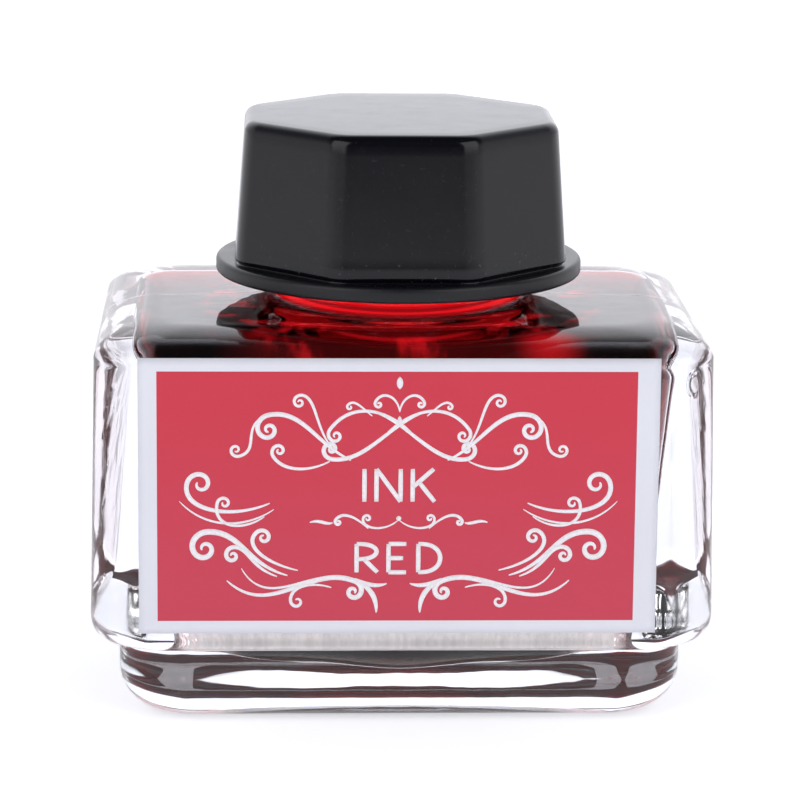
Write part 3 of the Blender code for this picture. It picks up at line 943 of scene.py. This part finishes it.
def cap_paint():
    """Glossy black plastic with faint scuffs and specks of dust.

    It is duller on the flange, specks gather at the octagon's foot, and the top is
    painted lighter toward the back, a painted sheen.
    """
    low = CAP_LOW[2]
    high = CAP_HIGH[2]
    black = (0.0028, 0.0030, 0.0050)
    # The grey of the dust, also used for the painted sheen on the top.
    dust = (0.050, 0.052, 0.062)
    paint = Paint("black_plastic")
    place = paint.where()
    _, y, z = paint.parts(place)
    flange = 1 - z.step(low + 1.4, low + 1.7)
    cloud = paint.noise(place, 0.35, 4.0)
    scuff = paint.noise(paint.where((0.5, 0.5, 5.0)), 1.1, 6.0, 0.7).step(0.56, 0.72)
    ledge = z.band(low + 1.3, low + 1.5, low + 2.0, low + 4.5)
    specks = paint.noise(place, 2.6, 2.0, 0.5).step(0.66, 0.72) * (0.15 + 0.6 * ledge)
    # Painted sheen: the top is painted lighter toward the back.
    top = z.step(high - 0.2, high - 0.05) * y.step(-15.0, 15.0)
    dust_and_sheen = scuff * 0.06 + flange * 0.08 + specks + top * 0.9
    paint.set(
        Base_Color=paint.mix(dust_and_sheen, black, dust),
        Roughness=0.14 + 0.07 * cloud + 0.05 * scuff + 0.2 * flange,
        IOR=1.36,
        Normal=paint.bump(paint.noise(place, 0.12, 1.0), 0.05, 0.0004),
    )
    return paint


def liner_paint():
    """Off-white foam with a fine grain."""
    paint = Paint("liner_foam")
    grain = paint.noise(paint.where(), 3.0, 3.0)
    paint.set(
        Base_Color=paint.mix(grain, (0.74, 0.73, 0.70), (0.86, 0.85, 0.82)),
        Roughness=0.65,
        Normal=paint.bump(grain, 0.4, 0.0002),
    )
    return paint


def label_paint():
    """Coated paper: a red field inside a pale border, with a faint grain."""
    low_red = (0.53, 0.043, 0.080)
    high_red = (0.56, 0.027, 0.053)
    grain_red = (0.47, 0.030, 0.06)
    paint = Paint("label_print")
    place = paint.where()
    x, _, z = paint.parts(place)
    u = x - (LABEL_X - 0.2)
    v = z - LABEL_Z
    field = u.absolute().step(22.85, 22.79) * v.absolute().step(12.22, 12.16)
    grain = paint.noise(place, 5.0, 2.0)
    cloud = paint.noise(place, 0.12, 3.0)
    red = paint.mix(v.step(-12.0, 12.0), low_red, high_red)
    red = paint.mix(grain * 0.25 + cloud * 0.15, red, grain_red)
    pale = paint.mix(cloud, (0.70, 0.71, 0.78), (0.64, 0.65, 0.72))
    paint.set(
        Base_Color=paint.mix(field, pale, red),
        Roughness=0.42 + 0.12 * grain,
        IOR=1.45,
        Normal=paint.bump(grain, 0.15, 0.00008),
    )
    return paint


def print_paint():
    """Off-white print, a little patchy where the paper's grain shows through."""
    paint = Paint("pale_print")
    patch = paint.noise(paint.where(), 3.5, 3.0).step(0.35, 0.75)
    paint.set(
        Base_Color=paint.mix(patch * 0.35, (0.80, 0.80, 0.84), (0.74, 0.50, 0.55)),
        Roughness=0.45 + 0.1 * patch,
        Normal=paint.bump(patch, 0.2, 0.00005),
    )
    return paint


def floor_paint():
    """A pale floor that is brighter far from the bottle, so that it meets the sky softly."""
    paint = Paint("studio_floor")
    x, y, _ = paint.parts(paint.where())
    far = (x.squared() + y.squared()).root().step(300.0, 900.0)
    paint.set(
        Base_Color=(0.86, 0.86, 0.89, 1.0),
        Roughness=0.7,
        Emission_Color=paint.mix(far, (0.95, 0.96, 1.0), (1.5, 1.47, 1.45)),
        Emission_Strength=0.58,
    )
    return paint


# ---------------------------------------------------------------- the studio, in metres


FLOOR_RADIUS = 2.4
FLOOR_SIDES = 64
KEY_AIM = (0.0, 0.0, 0.02)
KEY_SIZE = 0.75
KEY_POWER = 3.65
CAMERA_AIM = (0.0003, 0.0, 0.02837)
CAMERA_DISTANCE = 0.351


def make_world():
    """A white surrounding that is dark high up in front and brighter behind.

    The camera sees it evenly white.
    """
    world = bpy.data.worlds.new("studio")
    bpy.context.scene.world = world
    world.use_nodes = True
    sky = Nodes(world.node_tree)
    way = sky.node("ShaderNodeTexCoord", output="Generated")

    def toward(direction):
        """The cosine of the angle between the way looked and a direction."""
        inputs = (way, direction)
        return sky.node("ShaderNodeVectorMath", {"operation": "DOT_PRODUCT"}, inputs, "Value")

    dark = toward((0.0, -0.6, 0.8)).step(0.05, 0.5, 1.0, 0.04)
    behind = toward((0.0, 0.94, 0.34)).step(0.55, 0.97, 0.0, 0.5)
    seen = sky.node("ShaderNodeLightPath", output="Is Camera Ray")
    inputs = {0: seen, 2: dark + behind, 3: 1.08}
    strength = sky.node("ShaderNodeMix", {"data_type": "FLOAT"}, inputs)
    background = sky.tree.nodes["Background"]
    sky.feed(background.inputs["Strength"], strength)
    sky.feed(background.inputs["Color"], (0.955, 0.965, 1.02, 1.0))


def make_floor():
    turns = [TURN * i / FLOOR_SIDES for i in range(FLOOR_SIDES)]
    ring = [(FLOOR_RADIUS * math.cos(a), FLOOR_RADIUS * math.sin(a), 0.0) for a in turns]
    mesh = bpy.data.meshes.new("studio_floor")
    mesh.from_pydata(ring, [], [list(range(FLOOR_SIDES))])
    floor = bpy.data.objects.new("studio_floor", mesh)
    bpy.context.scene.collection.objects.link(floor)
    floor_paint().wear(floor)


def make_key_light(name, place):
    """A large square light aimed at the bottle."""
    lamp = bpy.data.lights.new(name, "AREA")
    lamp.shape = "SQUARE"
    lamp.size = KEY_SIZE
    lamp.energy = KEY_POWER
    thing = bpy.data.objects.new(name, lamp)
    bpy.context.scene.collection.objects.link(thing)
    thing.location = place
    thing.rotation_euler = (Vector(KEY_AIM) - Vector(place)).to_track_quat("-Z", "Y").to_euler()


def make_camera():
    """A long lens from a little above, a touch to the left, aimed at the bottle's middle."""
    rise = math.radians(12.95)
    turn = math.radians(2.42)
    roll = math.radians(0.58)
    level = math.cos(rise)
    back = Vector((-math.sin(turn) * level, -math.cos(turn) * level, math.sin(rise)))
    place = Vector(CAMERA_AIM) + back * CAMERA_DISTANCE
    lens = bpy.data.cameras.new("camera")
    lens.sensor_width = 36.0
    lens.lens = 156.5
    lens.clip_start = 0.01
    thing = bpy.data.objects.new("camera", lens)
    bpy.context.scene.collection.objects.link(thing)
    facing = (-back).to_track_quat("-Z", "Y").to_matrix()
    tilt = Matrix.Rotation(roll, 3, Vector((0, 0, 1)))
    thing.matrix_world = Matrix.Translation(place) @ (facing @ tilt).to_4x4()
    bpy.context.scene.camera = thing


# ---------------------------------------------------------------- everything together


glass = make_glass()
ink = make_ink()
cap = make_cap()
liner = make_liner()
label = make_label()
scrolls = make_print()

glass_paint().wear(glass)
ink_paint().wear(ink)
cap_paint().wear(cap)
liner_paint().wear(liner)
label_paint().wear(label)
print_paint().wear(scrolls)

bpy.context.scene.view_settings.view_transform = "Standard"
make_world()
make_floor()
make_key_light("left_key", (-0.55, -0.5, 0.42))
make_key_light("right_key", (0.55, -0.5, 0.42))
make_camera()
